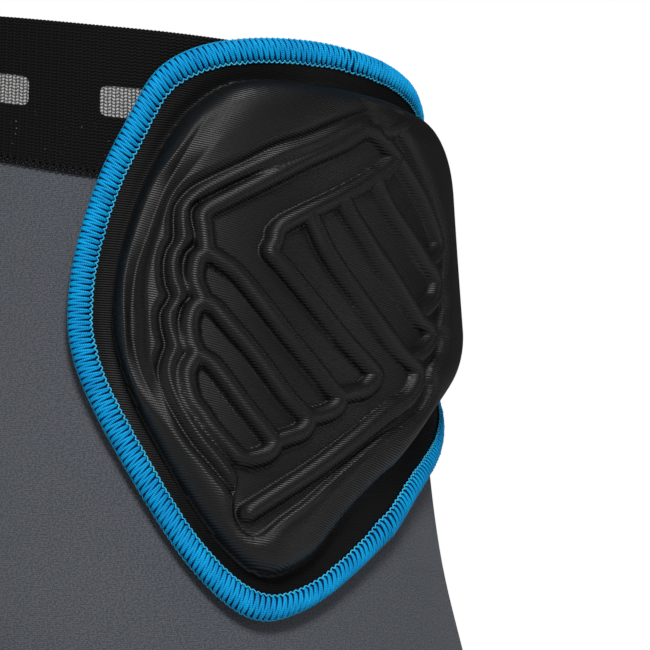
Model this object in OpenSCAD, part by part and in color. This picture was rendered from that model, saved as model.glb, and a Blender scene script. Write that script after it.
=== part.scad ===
// Padded impact shorts: stretch shorts with moulded foam pads sewn over both hips and the tailbone.
// Frame: +X is the wearer's left, -Y the wearer's front, +Z up.
// The origin is the middle of the waist opening, where the wearer's waist holds the shorts up.
// The garment keeps the shape it has when it is worn. Lengths are in millimetres.

/* [Garment] */
// Waist opening, side to side
waist_w = 296; // [280:2:304]
// Waist opening, front to back
waist_depth = 206; // [196:2:212]
// Width over the hips
hip_w = 346; // [330:2:360]
// From the waist opening down to the hem
garment_l = 430; // [410:5:450]
// From the waist opening down to the crotch
rise = 265; // [255:1:275]
// How much higher the waist is at the back than the front, per mm of depth
waist_slope = 0.15; // [0.1:0.01:0.16]
// Thickness of the stretch fabric
fabric_t = 1.2; // [0.8:0.1:1.6]

/* [Waistband] */
// Height of the elastic waistband
band_h = 50; // [40:1:55]
// How far the elastic stands proud of the fabric
band_proud = 0.8; // [0.4:0.1:0.9]

/* [Hems] */
// Height of the elastic leg hem
hem_h = 24; // [18:1:30]
// Height of the silicone gripper inside each hem
gripper_h = 12; // [8:1:14]

/* [Pads] */
// Thickness of the foam at its middle
foam_t = 10; // [8:0.5:14]
// Thickness of the moulded cover cloth
cover_t = 1.1; // [0.8:0.1:1.4]
// Width of the overlock stitching round each pad
edging_w = 6.5; // [5:0.5:8]
// Width of the thread over each flat seam
seam_w = 5; // [4:0.5:7]

/* [Legs] */
// Depth of the leg flex axis below the waist opening
flex_drop = 165; // [160:1:170]
// Radius of the line, round the flex axis, that parts each leg from the seat
flex_r = 150; // [148:1:152]

/* [Hidden] */

gap = 0.3;          // between neighbouring pieces
panel_cols = 18;    // facets across one panel
ring_cols = 28;     // facets round half of the waistband, or round one hem
pad_cols = 32;      // facets round a pad
leg_x = 86;         // the leg tube's centre line, from the middle of the body
hem_gap = 20;       // half the space between the legs at the hem
leg_flare = 0.2;    // how fast the legs part below the crotch
body_n = 2.25;      // how square the body's cross-section is
leg_n = 2.2;        // how square the leg's cross-section is
even_out = 5.8;     // degrees that even out the spacing of points round the section
merge_top = 105;    // below this drop the body's section turns into two leg sections
edge_u = 0.003;     // how far a panel's edge stays from the middle, as a share of the way round
leg_clear = 2.5;    // from the parting line to the leg's pieces
hip_clear = 1.5;    // from the parting line to the seat's pieces
elastic_t = 2.2;    // thickness of the waistband and the hems
seam_t = 0.7;       // thickness of the seam thread
seam_lift = 0.2;    // from the fabric up to the seam thread
gripper_t = 0.9;    // thickness of the silicone gripper
label_w = 28;       // width of the care label
label_h = 34;       // height of the care label
label_t = 0.4;      // thickness of the care label
pouch_top = 62;     // half the pouch's width at the waistband
pouch_foot = 12;    // half the pouch's width at its foot
pouch_drop = 256;   // drop of the pouch's foot
hem_seam_lift = 0.7;    // from the hem up to the thread over it

pad_base = 2.4;     // height of a pad's back face above the fabric
backing_t = 0.7;    // thickness of a pad's backing cloth
flange_w = 10;      // flat sewing margin round a pad's foam
foam_round = 20;    // how far in from its edge the foam reaches its full thickness
foam_rim = 1.5;     // thickness of the foam at its edge
cover_inset = 1.5;  // from the outer edge of the stitching to the cover's own edge
edging_t = 1;       // height of the overlock stitching
rim = edging_w + flange_w;
foam_base = pad_base + backing_t + 2 * gap;
flange_base = pad_base + backing_t + gap;

// [drop below the waist, half width, depth in front of the axis, depth behind it]
STATIONS = [
    [0,         waist_w / 2,      waist_depth / 2,      waist_depth / 2],
    [50,        waist_w / 2 + 3,  waist_depth / 2 + 2,  waist_depth / 2 + 5],
    [110,       hip_w / 2 - 15,   waist_depth / 2,      waist_depth / 2 + 15],
    [170,       hip_w / 2 - 7,    waist_depth / 2 - 5,  waist_depth / 2 + 24],
    [220,       hip_w / 2 + 1,    waist_depth / 2 - 2,  waist_depth / 2 + 24],
    [rise,      hip_w / 2 + 3,    waist_depth / 2 + 1,  waist_depth / 2 + 13],
    [330,       hip_w / 2 + 1,    waist_depth / 2 - 4,  waist_depth / 2 - 4],
    [garment_l, hip_w / 2 - 8,    waist_depth / 2 - 17, waist_depth / 2 - 19]
];

// How far down each row of points lies in a seat panel, closer together round the crotch
SEAT_ROWS = [0, 0.12, 0.24, 0.36, 0.48, 0.58, 0.66, 0.72, 0.77, 0.8, 0.82, 0.86, 1];
LEG_ROWS = [0, 0.25, 0.5, 0.75, 1];
POUCH_ROWS = [for (q = SEAT_ROWS) if (q < 0.78) q];
BACK_SEAM_ROWS = [for (q = SEAT_ROWS) if (q < 0.75) max(q, 0.03)];

// Where a pad's middle lies: [round from the centre back line, drop below the waist]
HIP_SPOT = [195, 98];
TAIL_SPOT = [0, 126];

// Outlines of the pads from their middles: [towards the wearer's front, up] on a hip
HIP_OUTLINE = [
    [-84, 5], [-80, 34], [-71, 59], [-59, 80], [-34, 91], [8, 95], [50, 89], [84, 74], [107, 46],
    [113, 14], [101, -12], [74, -32], [43, -53], [18, -79], [-3, -95], [-22, -98], [-44, -82],
    [-64, -53], [-80, -21]
];
// and [towards the wearer's left, up] on the tailbone
TAIL_OUTLINE = [
    [-56, 14], [-50, 42], [-30, 60], [0, 64], [30, 60], [50, 42], [56, 14], [48, -18], [30, -46],
    [0, -64], [-30, -46], [-48, -18]
];

// ---- Smooth curves through a few stations -------------------------------------------------------

function slope_at(t, i, c) =
    let(a = max(i - 1, 0), b = min(i + 1, len(t) - 1)) (t[b][c] - t[a][c]) / (t[b][0] - t[a][0]);

function span_of(t, d, i = 0) = (i >= len(t) - 2 || d < t[i + 1][0]) ? i : span_of(t, d, i + 1);

// Column c of table t at drop d, as a smooth curve through the stations
function smooth(t, d, c) =
    let(i = span_of(t, d), w = t[i + 1][0] - t[i][0], q = min(max((d - t[i][0]) / w, 0), 1),
        q2 = q * q, q3 = q2 * q)
    (2 * q3 - 3 * q2 + 1) * t[i][c] + (q3 - 2 * q2 + q) * w * slope_at(t, i, c)
    + (3 * q2 - 2 * q3) * t[i + 1][c] + (q3 - q2) * w * slope_at(t, i + 1, c);

function ease(q) = let(c = min(max(q, 0), 1)) c * c * (3 - 2 * c);
function bow(v, n) = sign(v) * pow(abs(v), 2 / n);

// ---- The body's surface --------------------------------------------------------------------------

// How far the two leg tubes run into each other at drop d: positive above the crotch
function overlap_at(d) =
    let(h = rise - d)
    h >= 0 ? leg_flare * h + h * h / 50 : -hem_gap * (1 - exp(h * leg_flare / hem_gap));

// A point of the left half's outer surface. u runs from the centre front line and inseam, at 0,
// round the wearer's left side to the centre back line and inseam, at 1. d is the drop below the waist.
// With bridged, the surface spans the hollow between the two legs' sections.
function body(u, d, bridged = false) =
    let(w = smooth(STATIONS, d, 1), f = smooth(STATIONS, d, 2), b = smooth(STATIONS, d, 3),
        a = 180 * u - even_out * sin(360 * u), deep = cos(a) > 0 ? f : b,
        trunk = [w * bow(sin(a), body_n), -deep * bow(cos(a), body_n)],
        inner = leg_x + overlap_at(d),
        past = asin(min(1, pow(leg_x / max(inner, 1), leg_n / 2))),
        la = -past + (180 + 2 * past) * u,
        leg_deep = cos(la) > 0 ? f : b,
        reach = sin(la) > 0 ? w - leg_x : inner,
        leg = [leg_x + reach * bow(sin(la), leg_n), -leg_deep * bow(cos(la), leg_n)],
        k = bridged ? 0 : ease((d - merge_top) / (rise - merge_top)),
        p = (1 - k) * trunk + k * leg)
    [p.x, p.y, -d + waist_slope * p.y * (1 - d / garment_l)];

function unit(v) = v / norm(v);

function outward(u, d, bridged = false) =
    unit(cross(body(u + 0.004, d, bridged) - body(u - 0.004, d, bridged),
               body(u, d - 1, bridged) - body(u, d + 1, bridged)));

// A point at height h above the surface, kept on its own side of the middle.
// u is negative on the wearer's right side.
function skin(u, d, h) =
    let(p = body(abs(u), d) + h * outward(abs(u), d), x = max(p.x, gap / 2))
    [u == 0 ? 0 : sign(u) * x, p.y, p.z];

// A point at height h above the left leg. u runs on past the inseam, at 0.
function leg_point(u, d, h) =
    let(v = u - floor(u)) body(v, d) + h * outward(v, d);

// Length round the left half at drop d
function half_girth(d) =
    PI * sqrt((pow(smooth(STATIONS, d, 1), 2)
               + pow((smooth(STATIONS, d, 2) + smooth(STATIONS, d, 3)) / 2, 2)) / 2);

// A point s mm round from the centre back line, positive towards the wearer's left
function round_point(s, d, h, bridged) =
    let(u = 1 - abs(s) / half_girth(d), p = body(u, d, bridged) + h * outward(u, d, bridged))
    [s < 0 ? -p.x : p.x, p.y, p.z];

// The drop at which the surface at u meets the cylinder, round the flex axis, that parts leg from seat
function parting(u) =
    let(y = body(u, flex_drop + 0.9 * flex_r).y, rise_back = waist_slope * y)
    (flex_drop + sqrt(pow(flex_r, 2) - y * y) + rise_back) / (1 + rise_back / garment_l);

// ---- Solids from grids of points -----------------------------------------------------------------

function flat(g) = [for (row = g) for (p = row) p];

// A solid between an outer and an inner grid of points. With wrap, the last column meets the first.
module slab(outer, inner, wrap = false) {
    rows = len(outer);
    cols = len(outer[0]);
    n = rows * cols;
    last = wrap ? cols - 1 : cols - 2;
    function at(i, j) = i * cols + j % cols;
    faces = concat(
        [for (i = [0:rows - 2]) for (j = [0:last]) each
            [[at(i, j), at(i + 1, j + 1), at(i + 1, j)], [at(i, j), at(i, j + 1), at(i + 1, j + 1)]]],
        [for (i = [0:rows - 2]) for (j = [0:last]) each
            [[n + at(i, j), n + at(i + 1, j), n + at(i + 1, j + 1)],
             [n + at(i, j), n + at(i + 1, j + 1), n + at(i, j + 1)]]],
        [for (j = [0:last]) each
            [[at(0, j), n + at(0, j + 1), at(0, j + 1)], [at(0, j), n + at(0, j), n + at(0, j + 1)]]],
        [for (j = [0:last]) let(r = rows - 1) each
            [[at(r, j), at(r, j + 1), n + at(r, j + 1)], [at(r, j), n + at(r, j + 1), n + at(r, j)]]],
        wrap ? [] : [for (i = [0:rows - 2]) each
            [[at(i, 0), at(i + 1, 0), n + at(i + 1, 0)], [at(i, 0), n + at(i + 1, 0), n + at(i, 0)]]],
        wrap ? [] : [for (i = [0:rows - 2]) let(c = cols - 1) each
            [[at(i, c), n + at(i + 1, c), at(i + 1, c)], [at(i, c), n + at(i, c), n + at(i + 1, c)]]]);
    polyhedron(points = concat(flat(outer), flat(inner)), faces = faces, convexity = 8);
}

// A dished solid from rings of points round a middle point, outer side and inner side
module dish(outer, inner, outer_mid, inner_mid) {
    rows = len(outer);
    cols = len(outer[0]);
    n = rows * cols;
    function at(i, j) = i * cols + j % cols;
    faces = concat(
        [for (j = [0:cols - 1]) [2 * n, at(0, j + 1), at(0, j)]],
        [for (j = [0:cols - 1]) [2 * n + 1, n + at(0, j), n + at(0, j + 1)]],
        [for (i = [0:rows - 2]) for (j = [0:cols - 1]) each
            [[at(i, j), at(i + 1, j + 1), at(i + 1, j)], [at(i, j), at(i, j + 1), at(i + 1, j + 1)]]],
        [for (i = [0:rows - 2]) for (j = [0:cols - 1]) each
            [[n + at(i, j), n + at(i + 1, j), n + at(i + 1, j + 1)],
             [n + at(i, j), n + at(i + 1, j + 1), n + at(i, j + 1)]]],
        [for (j = [0:cols - 1]) let(r = rows - 1) each
            [[at(r, j), n + at(r, j + 1), n + at(r, j)], [at(r, j), at(r, j + 1), n + at(r, j + 1)]]]);
    polyhedron(points = concat(flat(outer), flat(inner), [outer_mid, inner_mid]), faces = faces,
               convexity = 8);
}

// The solid between heights low and high over the left leg or the whole waist, as a closed ring
module leg_ring(drops, low, high) {
    cols = [for (j = [0:ring_cols - 1]) j / ring_cols];
    slab([for (d = drops) [for (u = cols) leg_point(u, d, high)]],
         [for (d = drops) [for (u = cols) leg_point(u, d, low)]], wrap = true);
}

module waist_ring(drops, low, high) {
    cols = [for (j = [0:2 * ring_cols - 1]) j < ring_cols ? j / ring_cols : j / ring_cols - 2];
    slab([for (d = drops) [for (u = cols) waist_point(u, d, high)]],
         [for (d = drops) [for (u = cols) waist_point(u, d, low)]], wrap = true);
}

function waist_point(u, d, h) =
    let(p = body(abs(u), d) + h * outward(abs(u), d))
    [abs(u) < 0.001 || abs(u) > 0.999 ? 0 : sign(u) * p.x, p.y, p.z];

module on_right() {
    mirror([1, 0, 0]) children();
}

// ---- Waistband and label -------------------------------------------------------------------------

module waistband() {
    color([0.09, 0.09, 0.1]) waist_ring([0, band_h / 2, band_h], band_proud - elastic_t, band_proud);
}

module waist_seam() {
    mid = band_h + gap / 2;
    low = band_proud + seam_lift;
    color([0.16, 0.16, 0.17]) waist_ring([mid - seam_w / 2, mid + seam_w / 2], low, low + seam_t - 0.2);
}

// A blank label that hangs inside the back from the waistband's lower edge
module care_label() {
    high = -fabric_t - 1;
    rows = [band_h + 2, band_h + 2 + label_h / 2, band_h + 2 + label_h];
    cols = [-label_w / 2, 0, label_w / 2];
    color([0.9, 0.9, 0.88])
        slab([for (d = rows) [for (s = cols) round_point(-s, d, high, true)]],
             [for (d = rows) [for (s = cols) round_point(-s, d, high - label_t, true)]]);
}

// ---- Seat panels ---------------------------------------------------------------------------------

// The share of the way round, before the side, at which the surface is x from the middle
function share_at(x, d, a = 0, b = 0.5, steps = 14) =
    let(mid = (a + b) / 2)
    steps == 0 ? mid
    : body(mid, d).x < x ? share_at(x, d, mid, b, steps - 1) : share_at(x, d, a, mid, steps - 1);

// Half the pouch's width at drop d, as a share of the way round
function pouch_u(d) =
    let(q = min(max((d - band_h) / (pouch_drop - band_h), 0), 1))
    share_at(pouch_foot + (pouch_top - pouch_foot) * (1 - q * q), d);

// Where a seat panel starts beside the pouch, and below the pouch at the inseam
function panel_edge(d) = d > pouch_drop + gap ? edge_u : pouch_u(d) + edge_u / 2;

seat_top = band_h + gap;

// The drop of a seat panel's point at u, for the share q of the way down
function seat_drop(q, u) = seat_top + q * (parting(u) - hip_clear - seat_top);

function seat_edge(q) = panel_edge(seat_top + q * (parting(0) - seat_top));

// One point of the left seat panel: q is the share of the way down, c of the way round to the back
function seat_point(q, c, h) =
    let(first = seat_edge(q), u = first + (1 - edge_u - first) * c) skin(u, seat_drop(q, u), h);

module seat_panel() {
    cols = [for (j = [0:panel_cols]) j / panel_cols];
    color([0.3, 0.31, 0.33])
        slab([for (q = SEAT_ROWS) [for (c = cols) seat_point(q, c, 0)]],
             [for (q = SEAT_ROWS) [for (c = cols) seat_point(q, c, -fabric_t)]]);
}

module left_panel() {
    seat_panel();
}

module right_panel() {
    on_right() seat_panel();
}

module front_pouch() {
    cols = [-1, -0.66, -0.33, 0, 0.33, 0.66, 1];
    function spot(q, c, h) =
        let(u = c * (seat_edge(q) - edge_u)) skin(u, seat_drop(q, abs(u)), h);
    color([0.28, 0.29, 0.31])
        slab([for (q = POUCH_ROWS) [for (c = cols) spot(q, c, 0)]],
             [for (q = POUCH_ROWS) [for (c = cols) spot(q, c, -fabric_t)]]);
}

function half_seam_u(d) = seam_w / 2 / half_girth(d);

module pouch_seam() {
    cols = [-1, 0, 1];
    function spot(q, k, h) =
        let(m = seat_edge(q) - edge_u / 2, d = seat_drop(max(q, 0.03), m))
        skin(m + k * half_seam_u(d), d, h);
    color([0.16, 0.16, 0.17])
        slab([for (q = POUCH_ROWS) [for (k = cols) spot(q, k, seam_lift + seam_t)]],
             [for (q = POUCH_ROWS) [for (k = cols) spot(q, k, seam_lift)]]);
}

module left_pouch_seam() {
    pouch_seam();
}

module right_pouch_seam() {
    on_right() pouch_seam();
}

module centre_back_seam() {
    cols = [-1, 0, 1];
    function spot(q, k, h) =
        let(d = seat_drop(q, 1 - edge_u), p = skin(1 - abs(k) * half_seam_u(d), d, h))
        [k == 0 ? 0 : -k * p.x, p.y, p.z];
    color([0.16, 0.16, 0.17])
        slab([for (q = BACK_SEAM_ROWS) [for (k = cols) spot(q, k, seam_lift + seam_t)]],
             [for (q = BACK_SEAM_ROWS) [for (k = cols) spot(q, k, seam_lift)]]);
}

// ---- Legs ----------------------------------------------------------------------------------------

hem_drop = garment_l - hem_h;

module leg_panel() {
    cols = [for (j = [0:panel_cols]) edge_u + (1 - 2 * edge_u) * j / panel_cols];
    function leg_drop(u, q) =
        let(top = parting(u) + leg_clear) top + q * (hem_drop - gap - top);
    color([0.3, 0.31, 0.33])
        slab([for (q = LEG_ROWS) [for (u = cols) leg_point(u, leg_drop(u, q), 0)]],
             [for (q = LEG_ROWS) [for (u = cols) leg_point(u, leg_drop(u, q), -fabric_t)]]);
}

module hem() {
    color([0.09, 0.09, 0.1])
        leg_ring([hem_drop, garment_l - hem_h / 2, garment_l], -elastic_t, 0);
}

module gripper() {
    mid = garment_l - hem_h / 2;
    high = -elastic_t - gap;
    color([0.45, 0.47, 0.5])
        leg_ring([mid - gripper_h / 2, mid + gripper_h / 2], high - gripper_t, high);
}

module hem_seam() {
    color([0.16, 0.16, 0.17])
        leg_ring([hem_drop - seam_w / 2, hem_drop + seam_w / 2], hem_seam_lift, hem_seam_lift + seam_t);
}

module inseam() {
    top = parting(0) + leg_clear + 1;
    drops = [for (q = LEG_ROWS) top + q * (hem_drop - seam_w - top)];
    cols = [-1, 0, 1];
    color([0.16, 0.16, 0.17])
        slab([for (d = drops) [for (k = cols) leg_point(k * half_seam_u(d), d, seam_lift + seam_t)]],
             [for (d = drops) [for (k = cols) leg_point(k * half_seam_u(d), d, seam_lift)]]);
}

module left_leg_panel() {
    leg_panel();
}

module right_leg_panel() {
    on_right() leg_panel();
}

module left_hem() {
    hem();
}

module right_hem() {
    on_right() hem();
}

module left_gripper() {
    gripper();
}

module right_gripper() {
    on_right() gripper();
}

module left_hem_seam() {
    hem_seam();
}

module right_hem_seam() {
    on_right() hem_seam();
}

module left_inseam() {
    inseam();
}

module right_inseam() {
    on_right() inseam();
}

// ---- Pads ----------------------------------------------------------------------------------------

// A point of the closed curve through pts, t of them on from the first
function on_curve(pts, t) =
    let(n = len(pts), i = floor(t), f = t - i,
        a = pts[(i + n - 1) % n], b = pts[i % n], c = pts[(i + 1) % n], e = pts[(i + 2) % n])
    0.5 * (2 * b + (c - a) * f + (2 * a - 5 * b + 4 * c - e) * f * f
           + (3 * b - a - 3 * c + e) * f * f * f);

function outline_of(pts) = [for (j = [0:pad_cols - 1]) on_curve(pts, j * len(pts) / pad_cols)];

// The outline drawn in by w all round
function ring_in(outline, w) = [for (p = outline) p * (1 - w / norm(p))];

// Thickness of the foam at w in from its edge
function foam_at(w) =
    let(c = 1 - min(w / foam_round, 1)) foam_rim + (foam_t - foam_rim) * sqrt(1 - c * c);

FOAM_STEPS = [foam_round, 9, 3, 0];     // rings of the foam, in from its edge
CORE_SHARES = [0.35, 0.7];              // rings inside them, as shares of the innermost

function foam_rings(outline) =
    concat([for (k = CORE_SHARES) k * ring_in(outline, rim + foam_round)],
           [for (w = FOAM_STEPS) ring_in(outline, rim + w)]);

FOAM_LIFTS = concat([for (k = CORE_SHARES) foam_t], [for (w = FOAM_STEPS) foam_at(w)]);

// Rings of points over the garment, each at its own height above the fabric
function placed(rings, heights, spot) =
    [for (i = [0:len(rings) - 1]) [for (p = rings[i]) pad_point(p, heights[i], spot)]];

// A pad on the centre back line bridges the hollow between the two sides
function pad_point(p, h, spot) = round_point(spot.x + p.x, spot.y - p.y, h, spot.x == 0);

module pad_dish(rings, low, high, spot) {
    dish(placed(rings, high, spot), placed(rings, low, spot),
         pad_point([0, 0], high[0], spot), pad_point([0, 0], low[0], spot));
}

module pad_backing(pts, spot) {
    outline = outline_of(pts);
    rings = concat([for (k = CORE_SHARES) k * ring_in(outline, rim + foam_round)],
                   [for (w = [rim + foam_round, rim, cover_inset]) ring_in(outline, w)]);
    color([0.2, 0.2, 0.21])
        pad_dish(rings, [for (r = rings) pad_base], [for (r = rings) pad_base + backing_t], spot);
}

module pad_foam(pts, spot) {
    rings = foam_rings(outline_of(pts));
    color([0.75, 0.75, 0.72])
        pad_dish(rings, [for (r = rings) foam_base], [for (t = FOAM_LIFTS) foam_base + t], spot);
}

module pad_cover(pts, spot) {
    outline = outline_of(pts);
    rings = concat(foam_rings(outline), [for (w = [rim - 3, cover_inset]) ring_in(outline, w)]);
    low = concat([for (t = FOAM_LIFTS) foam_base + t + gap], [flange_base, flange_base]);
    color([0.07, 0.07, 0.08]) pad_dish(rings, low, [for (h = low) h + cover_t], spot);
}

// The overlock stitching that wraps the cover's edge
module pad_edging(pts, spot) {
    outline = outline_of(pts);
    rings = [for (w = [edging_w, 0]) ring_in(outline, w)];
    low = flange_base + cover_t + 2 * gap;
    color([0.05, 0.55, 0.9])
        slab(placed(rings, [for (r = rings) low + edging_t], spot),
             placed(rings, [for (r = rings) low], spot), wrap = true);
}

module left_hip_pad_backing() {
    pad_backing(HIP_OUTLINE, HIP_SPOT);
}

module left_hip_pad_foam() {
    pad_foam(HIP_OUTLINE, HIP_SPOT);
}

module left_hip_pad_cover() {
    pad_cover(HIP_OUTLINE, HIP_SPOT);
}

module left_hip_pad_edging() {
    pad_edging(HIP_OUTLINE, HIP_SPOT);
}

module right_hip_pad_backing() {
    on_right() left_hip_pad_backing();
}

module right_hip_pad_foam() {
    on_right() left_hip_pad_foam();
}

module right_hip_pad_cover() {
    on_right() left_hip_pad_cover();
}

module right_hip_pad_edging() {
    on_right() left_hip_pad_edging();
}

module tailbone_pad_backing() {
    pad_backing(TAIL_OUTLINE, TAIL_SPOT);
}

module tailbone_pad_foam() {
    pad_foam(TAIL_OUTLINE, TAIL_SPOT);
}

module tailbone_pad_cover() {
    pad_cover(TAIL_OUTLINE, TAIL_SPOT);
}

module tailbone_pad_edging() {
    pad_edging(TAIL_OUTLINE, TAIL_SPOT);
}

// ---- The assembly --------------------------------------------------------------------------------

waistband();
care_label();
left_panel();
right_panel();
front_pouch();
left_leg_panel();
right_leg_panel();
left_hem();
right_hem();
left_gripper();
right_gripper();
waist_seam();
centre_back_seam();
left_pouch_seam();
right_pouch_seam();
left_inseam();
right_inseam();
left_hem_seam();
right_hem_seam();
left_hip_pad_backing();
left_hip_pad_foam();
left_hip_pad_cover();
left_hip_pad_edging();
right_hip_pad_backing();
right_hip_pad_foam();
right_hip_pad_cover();
right_hip_pad_edging();
tailbone_pad_backing();
tailbone_pad_foam();
tailbone_pad_cover();
tailbone_pad_edging();
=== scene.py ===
"""The looks of a pair of padded impact shorts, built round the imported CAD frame.

Lengths in this file are in millimetres unless a name or comment says otherwise, and meshes are
turned into metres as they are made. The garment's surface is the one that the CAD model uses.
"""
import math

import bpy
import numpy as np
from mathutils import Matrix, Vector


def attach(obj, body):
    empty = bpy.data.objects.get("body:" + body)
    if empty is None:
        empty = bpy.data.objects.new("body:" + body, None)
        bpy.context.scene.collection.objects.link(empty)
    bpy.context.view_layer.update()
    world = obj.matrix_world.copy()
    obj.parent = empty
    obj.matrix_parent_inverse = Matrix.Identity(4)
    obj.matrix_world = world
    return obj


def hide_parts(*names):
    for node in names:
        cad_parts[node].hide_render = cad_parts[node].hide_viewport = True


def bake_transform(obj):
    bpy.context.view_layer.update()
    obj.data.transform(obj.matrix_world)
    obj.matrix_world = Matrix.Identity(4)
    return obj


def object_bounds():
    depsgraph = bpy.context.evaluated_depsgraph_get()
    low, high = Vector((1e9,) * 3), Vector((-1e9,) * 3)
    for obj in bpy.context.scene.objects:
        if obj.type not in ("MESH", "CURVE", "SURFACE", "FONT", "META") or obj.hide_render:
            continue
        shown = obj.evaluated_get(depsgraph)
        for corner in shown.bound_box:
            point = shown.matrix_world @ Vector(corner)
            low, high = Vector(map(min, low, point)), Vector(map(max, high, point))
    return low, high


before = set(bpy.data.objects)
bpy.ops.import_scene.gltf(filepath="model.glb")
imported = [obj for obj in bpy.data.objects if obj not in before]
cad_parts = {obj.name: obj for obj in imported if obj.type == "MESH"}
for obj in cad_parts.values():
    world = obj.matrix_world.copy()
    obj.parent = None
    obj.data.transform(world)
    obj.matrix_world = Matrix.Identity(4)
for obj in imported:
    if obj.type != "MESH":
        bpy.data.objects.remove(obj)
cad_low, cad_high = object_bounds()

MM = 0.001
TAU = 2 * math.pi

# ---- The garment's surface, with the numbers of the CAD model ----

GARMENT_L, RISE, SLOPE = 430.0, 265.0, 0.15
LEG_X, HEM_GAP, FLARE = 86.0, 20.0, 0.2
BODY_N, LEG_N, EVEN_OUT, MERGE_TOP = 2.25, 2.2, 5.8, 105.0
WAIST_R, WAIST_F, HIP_R = 148.0, 103.0, 173.0
BAND_H, HEM_DROP, FABRIC_T = 50.0, 406.0, 1.2
POUCH_TOP, POUCH_FOOT, POUCH_DROP, CROTCH_TIP = 62.0, 12.0, 256.0, 262.0

# drop below the waist, half width, depth in front of the axis, depth behind it
STATIONS = np.array([
    [0, WAIST_R, WAIST_F, WAIST_F],
    [50, WAIST_R + 3, WAIST_F + 2, WAIST_F + 5],
    [110, HIP_R - 15, WAIST_F, WAIST_F + 15],
    [170, HIP_R - 7, WAIST_F - 5, WAIST_F + 24],
    [220, HIP_R + 1, WAIST_F - 2, WAIST_F + 24],
    [RISE, HIP_R + 3, WAIST_F + 1, WAIST_F + 13],
    [330, HIP_R + 1, WAIST_F - 4, WAIST_F - 4],
    [GARMENT_L, HIP_R - 8, WAIST_F - 17, WAIST_F - 19],
], float)


def station(d, c):
    """Column c of the stations at drop d, as a smooth curve."""
    t, last = STATIONS, len(STATIONS) - 1
    i = np.clip(np.searchsorted(t[:, 0], d, "right") - 1, 0, last - 1)
    each = np.arange(last + 1)
    before, after = np.maximum(each - 1, 0), np.minimum(each + 1, last)
    slope = (t[after, c] - t[before, c]) / (t[after, 0] - t[before, 0])
    width = t[i + 1, 0] - t[i, 0]
    q = np.clip((d - t[i, 0]) / width, 0, 1)
    return ((2 * q**3 - 3 * q**2 + 1) * t[i, c] + (q**3 - 2 * q**2 + q) * width * slope[i]
            + (3 * q**2 - 2 * q**3) * t[i + 1, c] + (q**3 - q**2) * width * slope[i + 1])


def ease(q):
    q = np.clip(q, 0, 1)
    return q * q * (3 - 2 * q)


def bell(v, width):
    return np.exp(-(v / width) ** 2)


def bow(v, n):
    """A sine or cosine v, squared off to a superellipse of power n."""
    return np.sign(v) * np.abs(v) ** (2 / n)


def overlap_at(d):
    """How far a leg's inner side would reach past the middle. Below the crotch it's negative."""
    h = RISE - d
    return np.where(h >= 0, FLARE * h + h * h / 50,
                    -HEM_GAP * (1 - np.exp(np.minimum(h, 0) * FLARE / HEM_GAP)))


def spread(*values):
    """The values as arrays of numbers of one shape."""
    return np.broadcast_arrays(*(np.asarray(v, float) for v in values))


def body(u, d, bridged=False):
    """A point of the left half. u runs from the centre front, 0, round the side to the back, 1.

    bridged leaves out the cleft between the legs, for what lies across the back.
    """
    u, d = spread(u, d)
    w, f, b = station(d, 1), station(d, 2), station(d, 3)
    a = np.pi * u - np.radians(EVEN_OUT) * np.sin(TAU * u)
    tx = w * bow(np.sin(a), BODY_N)
    ty = -np.where(np.cos(a) > 0, f, b) * bow(np.cos(a), BODY_N)
    inner = LEG_X + overlap_at(d)
    past = np.arcsin(np.minimum(1, (LEG_X / np.maximum(inner, 1)) ** (LEG_N / 2)))
    la = -past + (np.pi + 2 * past) * u
    lx = LEG_X + np.where(np.sin(la) > 0, w - LEG_X, inner) * bow(np.sin(la), LEG_N)
    ly = -np.where(np.cos(la) > 0, f, b) * bow(np.cos(la), LEG_N)
    k = 0 if bridged else ease((d - MERGE_TOP) / (RISE - MERGE_TOP))
    x, y = (1 - k) * tx + k * lx, (1 - k) * ty + k * ly
    return np.stack([x, y, -d + SLOPE * y * (1 - d / GARMENT_L)], -1)


def unit(v):
    return v / np.maximum(np.linalg.norm(v, axis=-1, keepdims=True), 1e-12)


def lengths_along(points):
    """The length of a line of points from its start up to each of them."""
    return np.concatenate([[0], np.cumsum(np.linalg.norm(np.diff(points, axis=0), axis=1))])


def outward(u, d, bridged=False):
    return unit(np.cross(body(u + 0.004, d, bridged) - body(u - 0.004, d, bridged),
                         body(u, d - 1, bridged) - body(u, d + 1, bridged)))


def half_girth(d):
    return np.pi * np.sqrt((station(d, 1)**2 + ((station(d, 2) + station(d, 3)) / 2)**2) / 2)


def round_point(s, d, h, bridged=False):
    """A point s round from the centre back line, positive towards the wearer's left."""
    s, d, h = spread(s, d, h)
    u = 1 - np.abs(s) / half_girth(d)
    p = body(u, d, bridged) + h[..., None] * outward(u, d, bridged)
    p[..., 0] *= np.where(s < 0, -1, 1)
    return p


def waist_point(t, d, h):
    """t runs once round the waist, from the centre front by the wearer's left."""
    t, d, h = spread(t, d, h)
    t = t % 1
    left = t <= 0.5
    u = np.where(left, 2 * t, 2 - 2 * t)
    p = body(u, d) + h[..., None] * outward(u, d)
    p[..., 0] *= np.where(left, 1, -1)
    return p


def leg_point(t, d, h):
    """t runs once round the left leg, from the inseam by the front."""
    t, d, h = spread(t, d, h)
    return body(t % 1, d) + h[..., None] * outward(t % 1, d)


# ---- Meshes ----

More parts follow.
